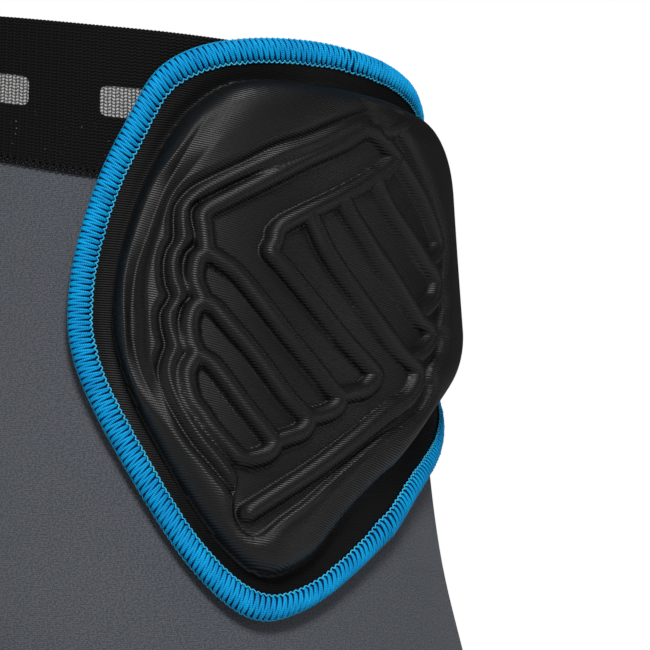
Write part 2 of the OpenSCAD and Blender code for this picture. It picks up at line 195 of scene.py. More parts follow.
def mesh_object(name, points, faces, material, uvs):
    """faces and uvs are lists of arrays, one row for each face. points are in millimetres."""
    points = np.asarray(points, float).reshape(-1, 3) * MM
    loops = np.concatenate([f.ravel() for f in faces])
    sizes = np.concatenate([np.full(len(f), f.shape[1]) for f in faces])
    mesh = bpy.data.meshes.new(name)
    mesh.vertices.add(len(points))
    mesh.vertices.foreach_set("co", points.astype(np.float32).ravel())
    mesh.loops.add(len(loops))
    mesh.loops.foreach_set("vertex_index", loops.astype(np.int32))
    mesh.polygons.add(len(sizes))
    mesh.polygons.foreach_set("loop_start", (np.cumsum(sizes) - sizes).astype(np.int32))
    mesh.polygons.foreach_set("use_smooth", np.ones(len(sizes), bool))
    mesh.update(calc_edges=True)
    flat = np.concatenate([np.asarray(u, float).reshape(-1, 2) for u in uvs]) * MM
    mesh.uv_layers.new(name="UVMap").data.foreach_set("uv", flat.astype(np.float32).ravel())
    mesh.materials.append(material)
    obj = bpy.data.objects.new(name, mesh)
    bpy.context.scene.collection.objects.link(obj)
    return obj


def grid_faces(rows, cols, wrap_r=False, wrap_c=False, start=0, flip=False):
    """Faces of a grid of points, and which row and column each corner has, for its UVs."""
    i, j = np.meshgrid(np.arange(rows if wrap_r else rows - 1),
                       np.arange(cols if wrap_c else cols - 1), indexing="ij")
    corners = [(i, j), (i + 1, j), (i + 1, j + 1), (i, j + 1)]
    if flip:
        corners = corners[::-1]
    at = np.stack([start + (a % rows) * cols + b % cols for a, b in corners], -1).reshape(-1, 4)
    spots = np.stack([np.stack([a, b], -1) for a, b in corners], 2).reshape(-1, 4, 2)
    return at, spots


def uv_of(spots, uv):
    """UVs at the given grid spots. uv has one more row or column than a grid that wraps."""
    last = np.array(uv.shape[:2]) - 1
    row, col = np.moveaxis(np.minimum(spots, last), -1, 0)
    return uv[row, col]


def shell(name, outer, inner, uv, material, flip=False):
    """A closed sheet between two grids of points."""
    rows, cols = outer.shape[:2]
    n = rows * cols
    top, spots = grid_faces(rows, cols, flip=flip)
    faces, uvs = [top, top[:, ::-1] + n], [uv_of(spots, uv), uv_of(spots[:, ::-1], uv)]
    at = np.arange(n).reshape(rows, cols)
    for line, lit, turn in ((at[0], uv[0], flip), (at[-1], uv[-1], not flip),
                            (at[:, 0], uv[:, 0], not flip), (at[:, -1], uv[:, -1], flip)):
        quad = np.stack([line[:-1], line[1:], line[1:] + n, line[:-1] + n], -1)
        corners = np.stack([lit[:-1], lit[1:], lit[1:], lit[:-1]], 1)
        faces.append(quad[:, ::-1] if turn else quad)
        uvs.append(corners[:, ::-1] if turn else corners)
    return mesh_object(name, np.concatenate([outer.reshape(-1, 3), inner.reshape(-1, 3)]),
                       faces, material, uvs)


def ring_solid(name, grid, uv, material, flip=False):
    """A solid ring: rows go round its cross-section and columns along it, and both close."""
    at, spots = grid_faces(*grid.shape[:2], wrap_r=True, wrap_c=True, flip=flip)
    return mesh_object(name, grid, [at], material, [uv_of(spots, uv)])


def dish(name, outer, inner, uv, material, flip=False):
    """A closed dished solid. Row 0 of each grid is round the middle."""
    rows, cols = outer.shape[:2]
    n = rows * cols
    mids = np.stack([outer[0].mean(0), inner[0].mean(0)])
    top, spots = grid_faces(rows, cols, wrap_c=True, flip=flip)
    at, nxt = np.arange(cols), (np.arange(cols) + 1) % cols
    fan = np.stack([np.full(cols, 2 * n), nxt, at], -1)
    fan_uv = np.stack([np.repeat(uv[:1, :-1].mean(1), cols, 0), uv[0, 1:], uv[0, :-1]], 1)
    rim = np.stack([at, nxt, nxt + n, at + n], -1) + (rows - 1) * cols
    rim_uv = np.stack([uv[-1, :-1], uv[-1, 1:], uv[-1, 1:], uv[-1, :-1]], 1)
    fan_low = fan[:, ::-1] + n
    fan_low[fan_low == 3 * n] = 2 * n + 1
    if flip:
        fan, fan_low, fan_uv = fan[:, ::-1], fan_low[:, ::-1], fan_uv[:, ::-1]
    else:
        rim, rim_uv = rim[:, ::-1], rim_uv[:, ::-1]
    points = np.concatenate([outer.reshape(-1, 3), inner.reshape(-1, 3), mids])
    top_uv, low_uv = uv_of(spots, uv), uv_of(spots[:, ::-1], uv)
    return mesh_object(name, points, [top, top[:, ::-1] + n, rim, fan, fan_low], material,
                       [top_uv, low_uv, rim_uv, fan_uv, fan_uv[:, ::-1]])


class Tubes:
    """Threads swept along lines of points, gathered into one mesh."""

    def __init__(self, sides=6):
        self.sides, self.n = sides, 0
        self.points, self.faces, self.uvs = [], [], []
        self.caps, self.cap_uvs = [], []

    def add(self, line, normal, wide, high, closed=True):
        """line and normal are (M, 3) arrays. wide and high are half the thread's size."""
        m, k = len(line), self.sides
        steps = np.roll(line, -1, 0) - np.roll(line, 1, 0) if closed else np.gradient(line, axis=0)
        along = unit(steps)
        side = unit(np.cross(along, normal))
        up = np.cross(side, along)
        a = TAU * np.arange(k) / k
        ring = (line[:, None] + wide * np.cos(a)[None, :, None] * side[:, None]
                + high * np.sin(a)[None, :, None] * up[:, None])
        at, spots = grid_faces(m, k, wrap_r=closed, wrap_c=True, start=self.n, flip=True)
        run = lengths_along(line)
        if closed:
            run = np.append(run, run[-1] + np.linalg.norm(line[0] - line[-1]))
        uv = np.stack(np.broadcast_arrays(run[:, None], np.arange(k + 1)[None] / k), -1)
        self.points.append(ring.reshape(-1, 3))
        self.faces.append(at)
        self.uvs.append(uv_of(spots, uv))
        if not closed:
            for end, turn in ((0, False), (m - 1, True)):
                for i in range(1, k - 1, 2):
                    quad = self.n + end * k + np.array([0, i, i + 1, i + 2])
                    self.caps.append(quad[::-1] if turn else quad)
                    self.cap_uvs.append(np.tile(uv[end, 0], (4, 1)))
        self.n += m * k

    def mirror(self):
        """Turns the left side's threads into the right side's."""
        self.points = [mirrored(p) for p in self.points]
        self.faces = [f[:, ::-1] for f in self.faces]
        self.uvs = [u[:, ::-1] for u in self.uvs]
        self.caps = [c[::-1] for c in self.caps]

    def build(self, name, material):
        faces = self.faces + ([np.array(self.caps)] if self.caps else [])
        uvs = self.uvs + ([np.array(self.cap_uvs)] if self.caps else [])
        return mesh_object(name, np.concatenate(self.points), faces, material, uvs)


def grid_normals(grid):
    return unit(np.cross(np.gradient(grid, axis=1), -np.gradient(grid, axis=0)))


def mirrored(points):
    return points * np.array([-1, 1, 1])


# ---- Shader nodes ----

class V:
    """A shader value that arithmetic can be done on."""

    def __init__(self, s, socket):
        self.s, self.socket = s, socket

    def __add__(self, o): return self.s.math("ADD", self, o)
    def __radd__(self, o): return self.s.math("ADD", o, self)
    def __sub__(self, o): return self.s.math("SUBTRACT", self, o)
    def __mul__(self, o): return self.s.math("MULTIPLY", self, o)
    def __rmul__(self, o): return self.s.math("MULTIPLY", o, self)
    def __truediv__(self, o): return self.s.math("DIVIDE", self, o)


class Shader:
    """A material with one principled shader."""

    def __init__(self, name):
        self.mat = bpy.data.materials.new(name)
        self.mat.use_nodes = True
        self.tree = self.mat.node_tree
        self.tree.nodes.clear()
        out = self.node("ShaderNodeOutputMaterial")
        self.bsdf = self.node("ShaderNodeBsdfPrincipled")
        self.link(self.bsdf.outputs[0], out.inputs["Surface"])

    def node(self, kind, **props):
        n = self.tree.nodes.new(kind)
        for k, v in props.items():
            setattr(n, k, v)
        return n

    def link(self, a, b):
        self.tree.links.new(a, b)

    def put(self, value, socket):
        if isinstance(value, V):
            self.link(value.socket, socket)
        else:
            socket.default_value = value

    def math(self, op, *values, clamp=False):
        n = self.node("ShaderNodeMath", operation=op, use_clamp=clamp)
        for v, s in zip(values, n.inputs):
            self.put(v, s)
        return V(self, n.outputs[0])

    def uv(self):
        """U and V of the mesh, in metres."""
        n = self.node("ShaderNodeSeparateXYZ")
        self.link(self.node("ShaderNodeUVMap", uv_map="UVMap").outputs[0], n.inputs[0])
        return V(self, n.outputs[0]), V(self, n.outputs[1])

    def place(self):
        """The point in the object's own frame, as a vector."""
        return V(self, self.node("ShaderNodeTexCoord").outputs["Object"])

    def vector(self, x, y):
        n = self.node("ShaderNodeCombineXYZ")
        for v, s in zip((x, y), n.inputs):
            self.put(v, s)
        return V(self, n.outputs[0])

    def noise(self, vector, scale, detail):
        n = self.node("ShaderNodeTexNoise")
        self.put(vector, n.inputs["Vector"])
        n.inputs["Scale"].default_value = scale
        n.inputs["Detail"].default_value = detail
        return V(self, n.outputs["Fac"])

    def wave(self, x, pitch, phase=0.0):
        """0 to 1 and back over each pitch, in metres, along x."""
        turned = self.math("MULTIPLY_ADD", x, TAU / pitch, phase)
        return self.math("MULTIPLY_ADD", self.math("SINE", turned), 0.5, 0.5)

    def span(self, x, a, b):
        """A smooth step, from 0 where x is a to 1 where it is b."""
        n = self.node("ShaderNodeMapRange", interpolation_type="SMOOTHSTEP")
        for v, s in zip((x, a, b), n.inputs):
            self.put(v, s)
        return V(self, n.outputs[0])

    def mix(self, share, a, b):
        n = self.node("ShaderNodeMix", data_type="RGBA")
        for v, s in zip((share, a, b), (n.inputs[0], n.inputs[6], n.inputs[7])):
            self.put((*v, 1.0) if isinstance(v, tuple) else v, s)
        return V(self, n.outputs[2])

    def bump(self, height, depth, strength):
        """height times depth, in metres, as a bump."""
        n = self.node("ShaderNodeBump")
        n.inputs["Strength"].default_value = strength
        n.inputs["Distance"].default_value = depth
        self.put(height, n.inputs["Height"])
        return V(self, n.outputs[0])

    def finish(self, color, roughness, normal, **fixed):
        """The material. fixed gives the shader's numbers that are the same all over the surface."""
        for name, value in (("Base Color", color), ("Roughness", roughness), ("Normal", normal)):
            self.put(value, self.bsdf.inputs[name])
        for name, value in fixed.items():
            value = (*value, 1.0) if isinstance(value, tuple) else value
            self.bsdf.inputs[name.replace("_", " ")].default_value = value
        return self.mat


def knit(s, u, v, course, wale):
    """Little knit loops: rows of them course apart along v, and wale apart along u."""
    lean = s.math("ABSOLUTE", s.wave(u, wale) - 0.5)
    return s.wave(v + lean * (course * 0.9), course) * (0.55 + 0.45 * s.wave(u, wale, 1.2))


def grey_cloth():
    s = Shader("grey_stretch_cloth")
    u, v = s.uv()
    loops = knit(s, u, v, 0.00062, 0.00078)
    streak = s.noise(s.vector(u * 2200.0, v * 160.0), 1.0, 2.0)
    patch = s.noise(s.place(), 14.0, 3.0)
    fleck = s.span(s.noise(s.vector(u * 1500.0, v * 1900.0), 1.0, 1.0), 0.36, 0.64)
    tone = loops * 0.30 + streak * 0.24 + fleck * 0.40 + (patch - 0.5) * 0.16
    color = s.mix(tone, (0.030, 0.034, 0.041), (0.142, 0.152, 0.174))
    return s.finish(color, 0.70, s.bump(loops + streak * 0.4, 0.00012, 0.6),
                    Sheen_Weight=0.10, Sheen_Roughness=0.5, Sheen_Tint=(0.55, 0.58, 0.64),
                    Specular_IOR_Level=0.18)


def rib_elastic(name, marks):
    """Ribbed black elastic. With marks, a row of plain woven dashes runs round its middle."""
    s = Shader(name)
    u, v = s.uv()
    rib = s.wave(u, RIB_PITCH * MM)
    loop = s.wave(v + s.wave(u, RIB_PITCH * MM * 2) * 0.0004, 0.00112)
    fuzz = s.noise(s.vector(u * 2200.0, v * 1400.0), 1.0, 2.0)
    dark = s.mix(loop * fuzz, (0.0006, 0.0006, 0.0007), (0.0085, 0.0085, 0.0090))
    specks = s.span(s.noise(s.vector(u * 900.0, v * 700.0), 1.0, 1.0), 0.73, 0.77)
    dots = specks * s.span(v, 0.030, 0.036) * rib
    color = s.mix(dots * 0.45, dark, (0.35, 0.35, 0.36))
    if marks:
        across = s.math("PINGPONG", u, DASH_GAP / 2)
        down = s.math("ABSOLUTE", v - DASH_DROP)
        ends, sides = (s.math("POWER", x, 6.0) for x in (across / DASH_HALF, down / DASH_HIGH))
        inside = s.span(ends + sides + (fuzz - 0.5) * 0.5, 1.05, 0.85)
        speck = rib * loop * s.span(fuzz, 0.30, 0.55)
        woven = s.mix(s.span(speck, 0.02, 0.30), (0.07, 0.07, 0.07), (0.46, 0.455, 0.45))
        color = s.mix(inside, color, woven)
    return s.finish(color, 0.70, s.bump(loop + fuzz * 0.5, 0.00022, 0.8),
                    Sheen_Weight=0.02, Sheen_Roughness=0.5, Specular_IOR_Level=0.10)


def cover_cloth(name, slant, depth, shine):
    """Fine black knit, depth deep, whose courses cross the pad and drop by slant to its front."""
    s = Shader(name)
    u, v = s.uv()
    drift = s.noise(s.vector(u * 30.0, v * 30.0), 1.0, 1.0)
    across = v + u * slant + (drift - 0.5) * 0.0016
    line = s.wave(across, 0.00078)
    loops = line * (0.55 + 0.45 * s.wave(u + across * 0.35, 0.00066))
    soft = s.noise(s.vector(u * 70.0, v * 110.0), 1.0, 3.0)
    color = s.mix(loops, (0.0001, 0.0001, 0.0001), (0.0060, 0.0062, 0.0067))
    rough = s.math("MULTIPLY_ADD", soft, 0.12, 0.40)
    return s.finish(color, rough, s.bump(line * 0.7 + loops * 0.3, depth, 1.0),
                    Specular_IOR_Level=shine)


def thread_material(name, low, high, shine, twist):
    """Spun thread, whose fibres wind round it."""
    s = Shader(name)
    u, v = s.uv()
    wound = s.wave(u + v * (twist / MM), twist)
    fibre = s.noise(s.vector(u * 3000.0, v * 9000.0), 1.0, 2.0)
    patch = (s.noise(s.place(), 160.0, 2.0) - 0.5) * 0.7
    tone = s.math("ADD", wound * 0.55 + fibre * 0.35, patch, clamp=True)
    return s.finish(s.mix(tone, low, high), 0.55, s.bump(wound + fibre * 0.4, 0.00008, 0.7),
                    Specular_IOR_Level=shine)


def plain_cloth(name, low, high, pitch, sheen):
    """A small knit between two colours."""
    s = Shader(name)
    u, v = s.uv()
    loops = knit(s, u, v, pitch, pitch * 1.2)
    tone = loops * 0.7 + s.noise(s.place(), 90.0, 3.0) * 0.3
    return s.finish(s.mix(tone, low, high), 0.75, s.bump(loops, pitch * 0.2, 0.7),
                    Sheen_Weight=sheen, Specular_IOR_Level=0.12)


def foam_material():
    s = Shader("pad_foam")
    cells = s.node("ShaderNodeTexVoronoi")
    s.put(s.place(), cells.inputs["Vector"])
    cells.inputs["Scale"].default_value = 900.0
    cell = V(s, cells.outputs["Distance"])
    return s.finish(s.mix(cell, (0.24, 0.24, 0.22), (0.62, 0.62, 0.58)), 0.9,
                    s.bump(cell, 0.0003, 0.6))


def silicone_material():
    s = Shader("silicone")
    haze = s.noise(s.place(), 300.0, 3.0)
    return s.finish(s.mix(haze, (0.25, 0.27, 0.30), (0.42, 0.44, 0.47)),
                    s.math("MULTIPLY_ADD", haze, 0.2, 0.22), s.bump(haze, 0.0001, 0.4),
                    Subsurface_Weight=0.15, Subsurface_Radius=Vector((0.002, 0.002, 0.002)),
                    Specular_IOR_Level=0.5)


def label_material():
    """Blank white satin with a fine twill and a cut edge."""
    s = Shader("label_satin")
    u, v = s.uv()
    twill = s.wave(u + v, 0.0004)
    return s.finish(s.mix(twill, (0.70, 0.70, 0.68), (0.86, 0.86, 0.84)), 0.38,
                    s.bump(twill, 0.00005, 0.5), Sheen_Weight=0.2, Specular_IOR_Level=0.5)


def floor_material():
    s = Shader("studio_floor")
    grain = s.noise(s.place(), 40.0, 4.0)
    return s.finish(s.mix(grain, (0.80, 0.80, 0.80), (0.84, 0.84, 0.84)), 0.9,
                    s.bump(grain, 0.0004, 0.2))


# the pitch of the elastic's ribs, how far back they notch its edges, and how high they are
RIB_PITCH, RIB_NOTCH, RIB_SWELL = 1.30, 0.22, 0.26
# the plain woven dashes on the waistband, in metres: spacing, drop, half length and half height
DASH_GAP, DASH_DROP, DASH_HALF, DASH_HIGH = 0.041232, 0.0256, 0.0086, 0.0052

GREY = grey_cloth()
WAIST_ELASTIC = rib_elastic("waist_elastic", True)
HEM_ELASTIC = rib_elastic("hem_elastic", False)
COVER = cover_cloth("pad_cover_cloth", 0.16, 0.00011, 0.36)
FLANGE = cover_cloth("pad_flange_cloth", 0.0, 0.00006, 0.10)
BLUE_THREAD = thread_material("blue_thread", (0.0, 0.150, 0.43), (0.0, 0.52, 0.97), 0.14, 0.0006)
# the edge loops' blue is lighter than the thread's: painted highlight
BLUE_LOOP_HIGHLIGHT = thread_material("blue_loop_painted_highlight", (0.0, 0.30, 0.70), (0.10, 0.74, 1.0), 0.18, 0.0004)
# dark blue under the overlock stitching: painted shade that shows between the thread rungs
BLUE_SHADE_UNDER = plain_cloth("overlock_painted_shade", (0.0, 0.006, 0.03), (0.0, 0.035, 0.13), 0.0006, 0.0)
DARK_THREAD = thread_material(
    "dark_thread", (0.006, 0.006, 0.007), (0.034, 0.035, 0.040), 0.14, 0.0006)
BLACK_THREAD = thread_material(
    "black_thread", (0.0015, 0.0015, 0.0017), (0.011, 0.011, 0.012), 0.10, 0.0006)
BACKING = plain_cloth("backing_cloth", (0.004, 0.004, 0.005), (0.022, 0.022, 0.025), 0.0011, 0.05)
FOAM = foam_material()
SILICONE = silicone_material()
LABEL = label_material()
FLOOR = floor_material()

# ---- Pieces on the bodies ----

SEAT = "hips"
CROTCH = Vector((0, 0, -RISE)) * MM
BEND = 125.0 * MM           # meant as the length over which a piece goes from following the hips to following a leg; nothing uses it to bend a piece


def side_name(side):
    return "left" if side > 0 else "right"


def bends(obj, side):
    """obj is on one side, 1 the wearer's left and -1 the right. Only its transform is baked into
    its mesh.
    """
    end = CROTCH + BEND * Vector((0.6 * side, 0, -0.8))
    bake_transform(obj)


def stands_for(obj, slot, side, *nodes):
    """Hides the CAD nodes that obj replaces; with a side it goes to bends, and without one it rides
    on the hips' empty. slot is not used.
    """
    if nodes:
        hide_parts(*nodes)
    if side:
        bends(obj, side)
    else:
        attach(obj, SEAT)


# ---- Cloth panels ----

EDGE_U = 0.00008            # the share of the way round left free at each edge of a cloth
MIDDLE_GAP = 0.12           # how far the side cloths stop from the middle plane
SWELL_H, SWELL_DROP = 1.6, 175      # how far the pouch swells out, and the drop where it does


def cloth(name, p, low, d, middle, flip):
    """The cloth between two grids. Its U is the length along each row from its column in middle."""
    steps = np.cumsum(np.linalg.norm(np.diff(p, axis=1), axis=2), 1)
    run = np.concatenate([np.zeros((len(p), 1)), steps], 1)
    uv = np.stack([run - np.take_along_axis(run, middle, 1), d], -1)
    return shell(name, p, low, uv, GREY, flip)


def share_at(x, d):
    """The share of the way round, before the side, at which the surface is x from the middle."""
    low, high = np.zeros_like(d), np.full_like(d, 0.5)
    for _ in range(30):
        mid = (low + high) / 2
        near = body(mid, d)[..., 0] < x
        low, high = np.where(near, mid, low), np.where(near, high, mid)
    return (low + high) / 2


def pouch_half(d):
    """Half the pouch's width at drop d."""
    q = np.clip((d - BAND_H) / (POUCH_DROP - BAND_H), 0, 1)
    wide = POUCH_FOOT + (POUCH_TOP - POUCH_FOOT) * (1 - q * q)
    tip = np.clip((CROTCH_TIP - d) / (CROTCH_TIP - POUCH_DROP), 0, 1)
    return wide * np.sqrt(tip)


def pouch_u(d):
    d = np.asarray(d, float)
    return np.where(d < CROTCH_TIP - 0.02, share_at(pouch_half(d), d), 0.0)


def cloth_rows():
    """The drops of the cloth's rows of points, which are close together near the crotch."""
    crotch = RISE - 9.0 * np.linspace(1, 0, 26) ** 2.2
    crotch[-1] = RISE - 0.02
    below = RISE + np.array([0.05, 0.4, 1.0, 1.9, 3.0, 4.4, 6.2, 8.2])
    seat, leg = np.linspace(BAND_H + 3, 253.6, 72), np.linspace(below[-1] + 2.6, HEM_DROP + 0.5, 48)
    return np.concatenate([BAND_H + np.array([-6, -3, -0.5, 0.5, 1.5]), seat, crotch, below, leg,
                           HEM_DROP + np.array([3, 6])])


def tuck(d):
    """How far the cloth lies under the waistband and the hem."""
    return 0.9 * (ease((BAND_H + 2.0 - d) / 3.0) + ease((d - HEM_DROP + 2.0) / 3.0))


def wrinkles(u, d, x, y):
    """Small strain folds of worn stretch cloth: out of the crotch, and round the inner thigh."""
    down = RISE - d
    far = np.sqrt(x**2 * 0.55 + down**2 + 40.0)
    turn = np.arctan2(down + 30.0, np.abs(x) + 8.0)
    fold = np.sin(turn * 17.0 + np.sin(far * 0.045) * 1.1) * bell(far - 62.0, 40.0)
    inner = bell(np.minimum(u, 1 - u), 0.16)
    thigh = np.sin((d - RISE) * 0.20 + 5.0 * np.abs(u - 0.5)) * bell(d - RISE - 38.0, 26.0)
    back = np.where(y > 0, 1.0, 0.8)
    return back * (0.75 * fold * inner + 0.55 * thigh * inner) * ease((d - 110) / 60)


def side_cloth(side):
    rows, cols = cloth_rows(), 190
    first = np.maximum(pouch_u(rows), EDGE_U)
    share = np.linspace(0, 1, cols)
    u = first[:, None] + (1 - EDGE_U - first[:, None]) * share[None]
    d = np.broadcast_to(rows[:, None], u.shape)
    p = body(u, d)
    normal = grid_normals(p)
    lift = wrinkles(u, d, p[..., 0], p[..., 1]) - tuck(d)
    edge = ease(np.minimum(share, 1 - share) / 0.02)[None]
    p = p + (lift * np.where(d > 60, edge, 1.0))[..., None] * normal
    p[..., 0] = np.maximum(p[..., 0], MIDDLE_GAP)
    low = p - FABRIC_T * grid_normals(p)
    low[..., 0] = np.maximum(low[..., 0], MIDDLE_GAP)
    if side < 0:
        p, low = mirrored(p), mirrored(low)
    label = side_name(side)
    middle = np.abs(u - 0.5).argmin(1)[:, None]
    obj = cloth(f"{label}_stretch_cloth", p, low, d, middle, side > 0)
    stands_for(obj, "stretch_fabric", side, f"{label}_panel", f"{label}_leg_panel")
    return obj


def front_pouch():
    rows = cloth_rows()
    rows = rows[rows < CROTCH_TIP - 0.3]
    share = np.linspace(-1, 1, 61)
    half = np.maximum(pouch_u(rows) - EDGE_U, 0.0002)
    u = share[None] * half[:, None]
    d = np.broadcast_to(rows[:, None], u.shape)
    p = body(np.abs(u), d)
    p[..., 0] *= np.sign(u)
    normal = grid_normals(p)
    swell = SWELL_H * bell(d - SWELL_DROP, 60) * (1 - share[None]**2) ** 1.5
    p = p + (swell - tuck(d))[..., None] * normal
    low = p - FABRIC_T * grid_normals(p)
    obj = cloth("pouch_cloth", p, low, d, np.full((len(rows), 1), 30), True)
    stands_for(obj, "stretch_fabric", 0, "front_pouch")
    return obj


# ---- Elastic ----

def even_shares(point, d, n):
    """n shares that lie evenly along the closed line of point at drop d, and its length."""
    t = np.linspace(0, 1, 4001)
    run = lengths_along(point(t, d, 0.0))
    return np.interp(np.arange(n) / n * run[-1], run, t), run[-1]


def waist_dips(t):
    """How far the waistband's top and bottom edges sag below its drops, round the waist."""
    u = np.minimum(t % 1, 1 - t % 1) * 2
    side = ease((0.86 - u) / 0.16) * ease(u / 0.3)
    return 5.4 + 1.3 * side, 0.4 + 4.8 * side


def elastic_ring(name, point, top, bottom, high, low, material, mirror=False, dips=None):
    """Ribbed elastic. Its cross-section goes down the outside, round the edge and up the inside."""
    mid = (top + bottom) / 2
    girth = even_shares(point, mid, 8)[1]
    ribs = 2 * round(girth / RIB_PITCH / 2)
    t, girth = even_shares(point, mid, ribs * 4)
    crest = np.tile([0.0, 0.83, 1.0, 0.83], ribs)
    inside = (high + low) / 2
    face = np.linspace(top + 1.1, bottom - 1.1, int((bottom - top) / 1.6))
    # drop, height, and how much the ribs swell there
    rows = [(top, inside, 0.4), (top + 0.12, high - 0.45, 0.9), (top + 0.5, high - 0.1, 1.0)]
    rows += [(d, high, 1.0) for d in face]
    rows += [(bottom - 0.5, high - 0.1, 1.0), (bottom - 0.12, high - 0.45, 0.9)]
    rows += [(bottom, inside, 0.4)]
    rows += [(bottom - 0.2, low + 0.35, -0.5), (bottom - 0.8, low, -1.0)]
    rows += [(d, low, -1.0) for d in np.linspace(bottom - 3, top + 3, 8)]
    rows += [(top + 0.8, low, -1.0), (top + 0.2, low + 0.35, -0.5)]
    rows = np.array(rows)
    d, h, swell = (c[:, None] for c in rows.T)
    notch = RIB_NOTCH * (1 - crest)[None]
    d = d + np.where(d < top + 0.6, notch, 0) - np.where(d > bottom - 0.6, notch, 0)
    h = h + swell * RIB_SWELL * (crest - 0.6)[None]
    if dips:
        sag_top, sag_bottom = dips(t)
        share = np.clip((d - top) / (bottom - top), 0, 1)
        d = d + sag_top * (1 - share) + sag_bottom * share
    grid = point(t[None] + 0 * d, d, h)
    if mirror:
        grid = mirrored(grid)
    around = np.append(np.arange(ribs * 4), ribs * 4) / (ribs * 4) * girth
    u, v = np.meshgrid(around, np.append(rows[:, 0], rows[0, 0]) - top)
    return ring_solid(name, grid, np.stack([u, v], -1), material, mirror)


# ---- Threads ----

class Line:
    """A line over the garment. at(t, w, h) is t along it, w across it and h above it."""

    def __init__(self, points, normals, closed=False):
        if closed:
            points, normals = (np.concatenate([a, a[:1]]) for a in (points, normals))
        self.run = lengths_along(points)
        self.length, self.points, self.normals = self.run[-1], points, unit(normals)
        along = np.gradient(points, axis=0)
        if closed:
            along[0] = along[-1] = points[1] - points[-2]
        self.across = unit(np.cross(self.normals, unit(along)))

    def pick(self, table, t):
        return np.stack([np.interp(t, self.run, table[:, k]) for k in range(3)], -1)

    def at(self, t, w, h):
        t, w, h = spread(t, w, h)
        return (self.pick(self.points, t) + w[..., None] * self.pick(self.across, t)
                + h[..., None] * self.pick(self.normals, t))

    def normal(self, t):
        return unit(self.pick(self.normals, t))


SEAM_HALF = 2.3             # half the width of a cloth seam's stitching


def flatlock(tubes, line, half, lift, closed):
    """A flat seam: a zigzag of looper thread between two rows of needle stitches."""
    period, thick = 2.3, 0.36
    n = round(line.length / period)
    t = np.linspace(0, line.length, n * 10 + (0 if closed else 1), endpoint=not closed)
    phase = t / line.length * n
    zig = 2 / np.pi * np.arcsin(0.97 * np.sin(TAU * phase))
    high = lift + 0.30 + 0.10 * np.cos(2 * TAU * phase)
    tubes.add(line.at(t, half * zig, high), line.normal(t), thick, thick * 0.62, closed)
    for k in (-1, 1):
        dip = 0.5 + 0.5 * np.cos(TAU * phase + (0 if k > 0 else np.pi))
        side = k * (half * 0.93 + 0.10 * dip)
        tubes.add(line.at(t, side, lift + 0.12 + 0.30 * dip), line.normal(t), thick * 0.9,
                  thick * 0.62, closed)


def thread_piece(name, line, half, lift, closed=False, side=0, mirror=False, material=DARK_THREAD):
    """The seam called name, along line and half wide on each side of it."""
    tubes = Tubes()
    flatlock(tubes, line, half, lift, closed)
    if mirror:
        tubes.mirror()
    stands_for(tubes.build(f"{name}_thread", material), "dark_thread", side, name)


def seam_line(point, t, d, h):
    """The closed line of point over the shares t, at drop d and h above the surface."""
    foot = point(t, d, h)
    return Line(foot, point(t, d, h + 1.0) - foot, True)


def centre_line(u, drops):
    """The line down the middle of the garment, with x at 0: u is 0 in front and 1 behind."""
    p = body(u, drops)
    p[:, 0] = 0
    normal = unit(np.cross(np.gradient(p, axis=0), np.array([1.0, 0, 0])))
    away = p - np.array([0, 0, -150.0])
    normal *= np.sign((normal * away).sum(1))[:, None]
    return p, normal


# ---- Pads ----

HIP_OUTLINE = [
    (-84, 5), (-80, 34), (-71, 59), (-59, 80), (-34, 91), (8, 95), (50, 89), (84, 74), (107, 46),
    (113, 14), (101, -12), (74, -32), (43, -53), (18, -79), (-3, -95), (-22, -98), (-44, -82),
    (-64, -53), (-80, -21)]
TAIL_OUTLINE = [
    (-56, 14), (-50, 42), (-30, 60), (0, 64), (30, 60), (50, 42), (56, 14), (48, -18), (30, -46),
    (0, -64), (-30, -46), (-48, -18)]
# where the foam's top comes down to the flange
HIP_FOOT = [
    (-69.5, 5), (-66.5, 28), (-59, 51), (-49, 67), (-33, 77.5), (0, 81), (28, 80), (50, 77.5),
    (75, 65), (93, 44), (98, 18), (92, 0), (79, -7), (66, -14.5), (54, -21), (44, -28), (28, -43),
    (10, -62), (-4, -79), (-19, -85), (-35, -74), (-54, -46), (-66.5, -17)]
TAIL_FOOT = [
    (-43, 13), (-39, 34), (-24, 48), (0, 51), (24, 48), (39, 34), (43, 13), (37, -14), (23, -36),
    (0, -51), (-23, -36), (-37, -14)]
# how far round from the centre back, and how far down, each pad's own origin is
HIP_SPOT, TAIL_SPOT = (195.0, 98.0), (0.0, 126.0)
# the heights of the flange and of the dome, how far in from the foot the dome reaches its height,
# and how far in from the outline the cover's rows still follow it
FLANGE_H, DOME_H, DOME_RISE, CORE_IN = 4.5, 15.2, 13.5, 44.0
COVER_T, BACK_LOW, BACK_HIGH, FOAM_LOW = 1.1, 2.4, 3.1, 3.4
# the cross-sections of the edge under the stitching and of the stitching: how far in from the
# outline, and how high
EDGING = np.array([
    (6.5, 4.62), (6.45, 5.0), (5.6, 5.45), (3.3, 5.75), (1.2, 5.35), (0.1, 4.3), (-0.15, 3.0),
    (0.1, 1.8), (0.9, 1.0), (2.6, 0.75), (5.6, 0.9), (5.7, 2.2), (1.5, 2.2), (1.15, 3.4),
    (1.4, 4.6)])
OVERLOCK = np.array([
    (8.0, 4.75), (7.0, 5.0), (5.9, 5.85), (3.3, 6.25), (1.0, 5.75), (-0.15, 4.6), (-0.45, 3.2),
    (-0.5, 2.2)])
# the length and the lean of a stitch, and half the width and height of its threads
STITCH, LEAN = 2.05, 0.55
OVERLOCK_SIZE, LOOP_SIZE = (0.50, 0.36), (0.25, 0.20)


